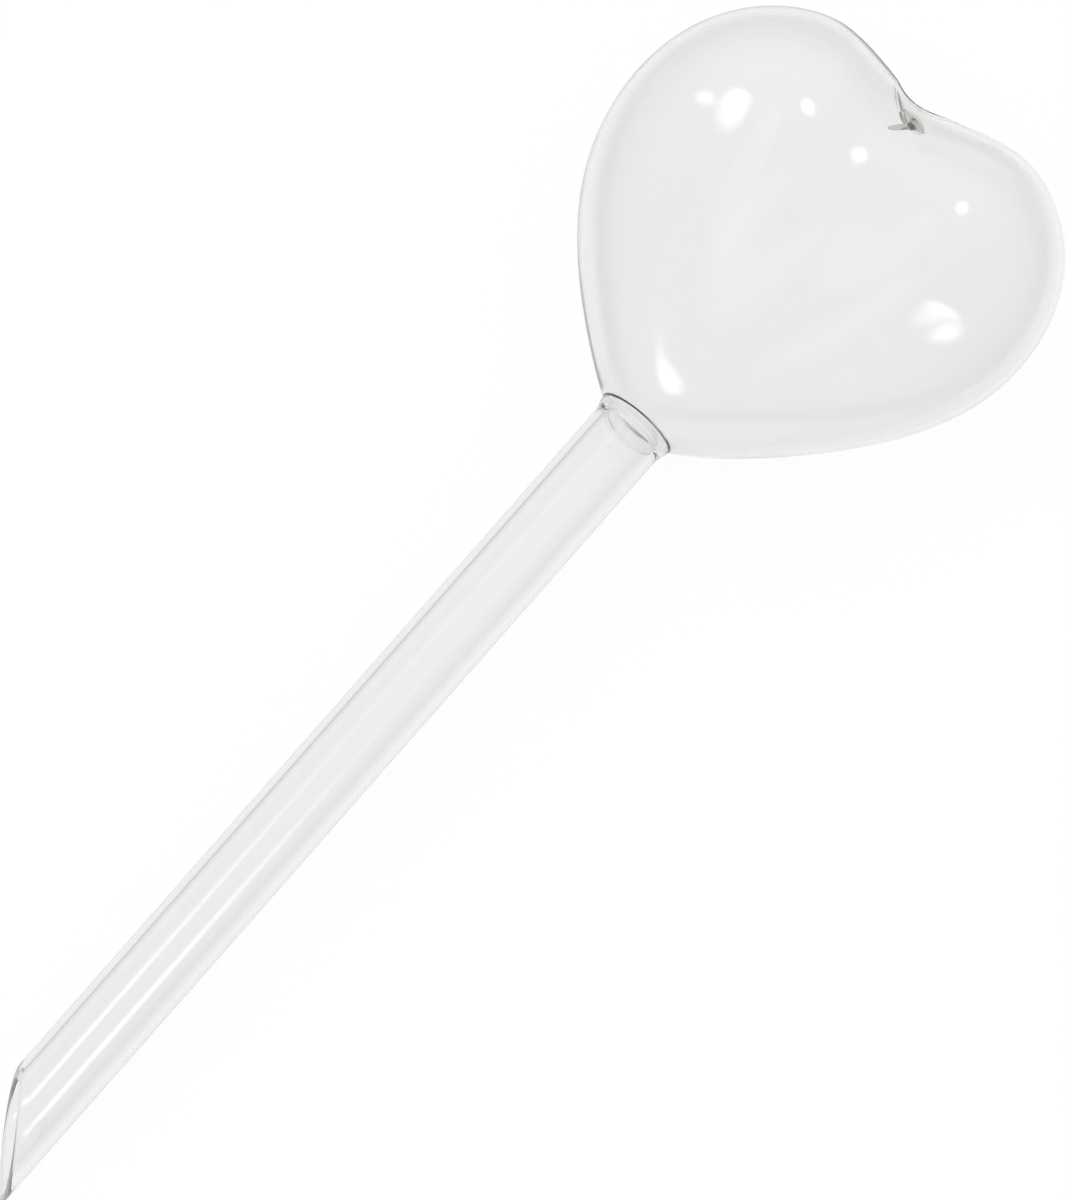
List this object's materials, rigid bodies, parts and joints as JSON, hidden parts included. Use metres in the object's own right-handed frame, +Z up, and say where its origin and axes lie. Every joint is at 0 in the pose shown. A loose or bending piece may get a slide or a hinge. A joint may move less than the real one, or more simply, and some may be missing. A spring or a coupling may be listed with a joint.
{
  "type": "glass plant waterer",
  "caption": "Clear glass plant waterer: a hollow blown heart-shaped bulb on a straight glass stem tube with a slanted open end that is pushed into potting soil.",
  "frame": {"origin": "middle of the footprint, on the table under the part as it lies on one broad face with its slanted tip down", "axes": "+X runs along the stem towards the heart bulb, seen from above; +Y is to the left of that and the upper left lobe of the picture; +Z is up from the table. The stem axis rises 3.16 degrees towards +X, because the bulb is thicker than the stem."},
  "size_m": [0.227, 0.076, 0.0344],
  "materials": {
    "stem_glass": "drawn clear borosilicate tubing with a fire-polished rim",
    "weld_glass": "flame-worked clear borosilicate weld, slightly wavy",
    "bulb_glass": "blown clear borosilicate, fire polished",
    "seal_glass": "thick gathered clear borosilicate, flame sealed"
  },
  "bodies": {
    "root": {"stem_tube": "stem_glass", "neck_weld": "weld_glass", "heart_bulb": "bulb_glass", "notch_seal": "seal_glass"}
  },
  "joints": []
}
